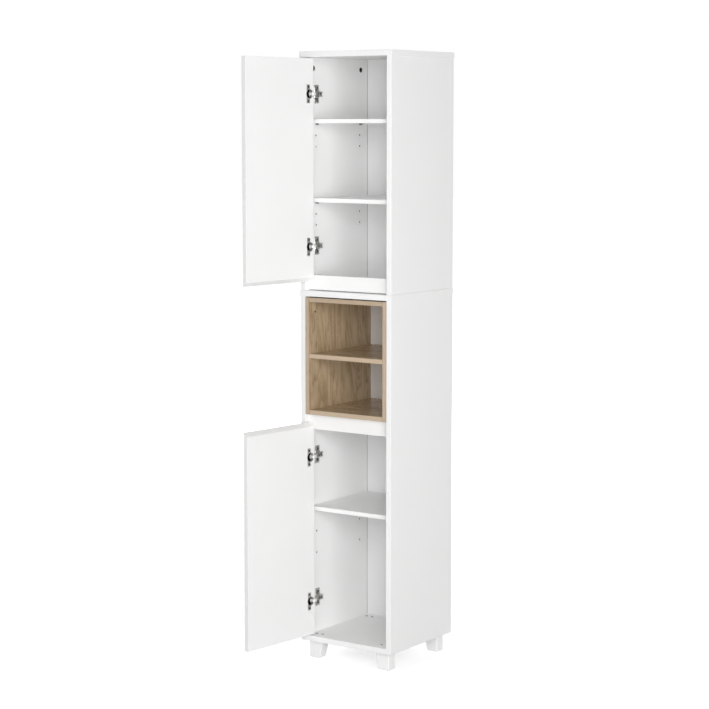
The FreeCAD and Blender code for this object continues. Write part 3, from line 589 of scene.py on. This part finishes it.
SLOT_FINISH = {"hinge_steel": metal("nickel_plate", NICKEL, dull=0.30),
               "pin_steel": metal("pin_steel", SHADED_PIN_STEEL, dull=0.30),
               "cam_zinc": metal("cast_zinc_painted_shade", SHADED_ZINC, dull=0.46),
               "screw_steel": metal("screw_steel", SCREW_STEEL, dull=0.34),
               "white_foot": painted("foot_lacquer", FOOT_WHITE, rough=0.40)}
NODE_FINISH = {"insert_screws": metal("dark_brown_screw", DARK_BROWN_SCREW, dull=0.4),
               # foot screws near black as painted shade, like the cams
               "foot_screws": SLOT_FINISH["cam_zinc"]}
# the arm's neck is a painted highlight, nearly white and barely metallic
ARM_FINISH = metal("hinge_arm_nickel_painted_highlight", NICKEL, 0.28, NECK_HIGHLIGHT_NICKEL, painted_neck_highlight, highlight_diffuse=0.9)


def finish_of(node, slot):
    """Material of a carried-over piece, by its name and the record's slot."""
    if node in NODE_FINISH:
        return NODE_FINISH[node]
    if slot == "hinge_steel" and node.endswith("_arm"):
        return ARM_FINISH
    # the cup's hollow has painted shade deep inside
    if slot == "hinge_steel" and node.endswith("_cup"):
        return metal("cup_nickel_painted_shade_" + node, NICKEL, 0.34, CUP_SHADE_BLACK, cup_shade_of(node), is_door=True)
    if slot in SLOT_FINISH:
        return SLOT_FINISH[slot]
    if slot in ("oak_board", "dowel_wood"):
        return oak_board(node)
    if slot == "white_back":
        return white_board(node, BACK_WHITE, rough=0.5, raw_rear=True)
    return white_board(node)


def dress_all():
    """Give every carried-over piece its finish."""
    for part in frame["record"]["subparts"]:
        materials = nodes[part["node"]].data.materials
        materials.clear()
        materials.append(finish_of(part["node"], part["material_slot"]))


# ---- formed pieces ----
def lofted(name, rows):
    """Closed surface through rows of points. Each row is one closed loop, joined to the next
    row point by point, and one face closes each end."""
    count, around = rows.shape[:2]
    index = np.arange(count * around).reshape(count, around)
    here, there = index[:-1], index[1:]
    quads = np.stack([here, np.roll(here, -1, 1), np.roll(there, -1, 1), there], -1)
    ends = [index[0][::-1].tolist(), index[-1].tolist()]
    mesh = bpy.data.meshes.new(name)
    mesh.from_pydata(rows.reshape(-1, 3).tolist(), [], quads.reshape(-1, 4).tolist() + ends)
    work = bmesh.new()
    work.from_mesh(mesh)
    bmesh.ops.recalc_face_normals(work, faces=work.faces)
    work.to_mesh(mesh)
    work.free()
    mesh.shade_smooth()
    mesh.set_sharp_from_angle(angle=math.radians(SHARP_ANGLE))
    piece = bpy.data.objects.new(name, mesh)
    bpy.context.scene.collection.objects.link(piece)
    return piece


def step_up(distance):
    """Smooth step from 0 to 1 as a distance goes from -STEP_SOFT / 2 to STEP_SOFT / 2."""
    t = np.clip(distance / STEP_SOFT + 0.5, 0, 1)
    return t * t * (3 - 2 * t)


def plate_rows(low, high):
    """Rows of a stamped mounting plate, from its lower end to its upper. At each height z the
    half width is that of a rectangle with corners of PLATE_CORNER. Over each row the sheet
    rises by a quarter round at its edge, a bead along its outline, the saddle and the ridge,
    all smooth steps of the distance from their own edges."""
    width, length = high[1] - low[1], high[2] - low[2]
    z = np.linspace(-length / 2, length / 2, PLATE_ROWS)[:, None]
    into = np.maximum(np.abs(z) - (length / 2 - PLATE_CORNER), 0)
    half = width / 2 - PLATE_CORNER + np.sqrt(np.maximum(PLATE_CORNER ** 2 - into ** 2, 0))
    y = half * np.linspace(-1, 1, PLATE_COLUMNS)[None, :]
    edge = np.minimum(half - np.abs(y), length / 2 - np.abs(z))
    quarter = 1 - np.clip(edge / PLATE_ROUND, 0, 1)
    x = PLATE_SHEET - PLATE_ROUND * (1 - np.sqrt(1 - quarter ** 2))
    x += BEAD_HEIGHT * np.cos(np.clip((edge - BEAD_IN) / BEAD_HALF, -1, 1) * math.pi / 2) ** 2
    saddle = step_up(SADDLE_HALF - np.abs(z)) * step_up(edge - SADDLE_IN)
    ridge = step_up(RIDGE_HALF - np.abs(z)) * step_up(edge - RIDGE_IN)
    x += saddle * (SADDLE_HEIGHT - x)
    x += ridge * (high[0] - low[0] - x)
    rows = np.zeros((PLATE_ROWS, PLATE_COLUMNS + 2, 3))
    rows[:, :-2, 0], rows[:, :-2, 1] = x, y
    rows[:, -2, 1], rows[:, -1, 1] = half[:, 0], -half[:, 0]
    rows[:, :, 2] = z
    return rows + np.array([low[0], (low[1] + high[1]) / 2, (low[2] + high[2]) / 2])


def make_plates():
    """One stamped plate for each hinge, in place of the plain one."""
    for node in [name for name in nodes if name.endswith("_plate")]:
        low, high = (np.array(corner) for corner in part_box(node))
        piece = lofted(node + "_stamped", plate_rows(low, high))
        piece.data.materials.append(SLOT_FINISH["hinge_steel"])
        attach(piece, "cabinet")
        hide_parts(node)


# ---- camera, floor and light ----
def make_camera():
    data = bpy.data.cameras.new("camera")
    data.sensor_width = SENSOR
    data.lens = FOCAL_PIXELS / PICTURE * SENSOR
    data.shift_y = -DROP_PIXELS / PICTURE
    data.clip_end = CAMERA_REACH
    camera = bpy.data.objects.new("camera", data)
    camera.location = EYE
    camera.rotation_euler = (math.radians(90 - TILT), 0, math.radians(HEADING))
    bpy.context.scene.collection.objects.link(camera)
    bpy.context.scene.camera = camera


def seen_directly(net):
    """1 for camera, glossy and transmission rays."""
    path = net.add("ShaderNodeLightPath").outputs
    seen = net.maths("MAXIMUM", path["Is Camera Ray"], path["Is Glossy Ray"])
    return net.maths("MAXIMUM", seen, path["Is Transmission Ray"])


def make_sky():
    """Even sky: white where it is seen directly, and SKY_LEVEL as light."""
    world = bpy.data.worlds.new("studio")
    world.use_nodes = True
    bpy.context.scene.world = world
    net = Net(world.node_tree)
    background = world.node_tree.nodes["Background"]
    background.inputs["Color"].default_value = WHITE
    level = net.maths("MULTIPLY_ADD", seen_directly(net), 1.0 - SKY_LEVEL, SKY_LEVEL)
    net.wire(level, background.inputs["Strength"])


def make_floor():
    """Square pale floor that keeps the object's shadow. Where it is seen directly it also
    glows, more so further out, until it meets the white sky."""
    corners = [(x * FLOOR_HALF, y * FLOOR_HALF, -FLOOR_DROP)
               for x, y in ((-1, -1), (1, -1), (1, 1), (-1, 1))]
    mesh = bpy.data.meshes.new("studio_floor")
    mesh.from_pydata(corners, [], [(0, 1, 2, 3)])
    floor = bpy.data.objects.new("studio_floor", mesh)
    bpy.context.scene.collection.objects.link(floor)
    material, net, shader = start_material("studio_floor")
    shader.inputs["Base Color"].default_value = FLOOR_GREY
    shader.inputs["Roughness"].default_value = FLOOR_ROUGH
    shader.inputs["Specular IOR Level"].default_value = FLOOR_SPECULAR
    shader.inputs["Emission Color"].default_value = WHITE
    place = net.add("ShaderNodeTexCoord").outputs["Object"]
    glow = net.ramp(net.length(place), *FLOOR_GLOW_REACH, *FLOOR_GLOW)
    net.wire(net.maths("MULTIPLY", seen_directly(net), glow), shader.inputs["Emission Strength"])
    mesh.materials.append(material)


def make_lamps():
    """Soft rectangular lamps, all turned to LAMP_TARGET."""
    for name, (place, (width, height), power) in LAMPS.items():
        data = bpy.data.lights.new(name, "AREA")
        data.shape = "RECTANGLE"
        data.size, data.size_y = width, height
        data.energy = power
        lamp = bpy.data.objects.new(name, data)
        lamp.location = place
        towards = Vector(LAMP_TARGET) - Vector(place)
        lamp.rotation_euler = towards.to_track_quat("-Z", "Y").to_euler()
        bpy.context.scene.collection.objects.link(lamp)


make_camera()
make_sky()
make_floor()
make_lamps()
dress_all()
make_plates()

bpy.context.scene.view_settings.view_transform = "Standard"
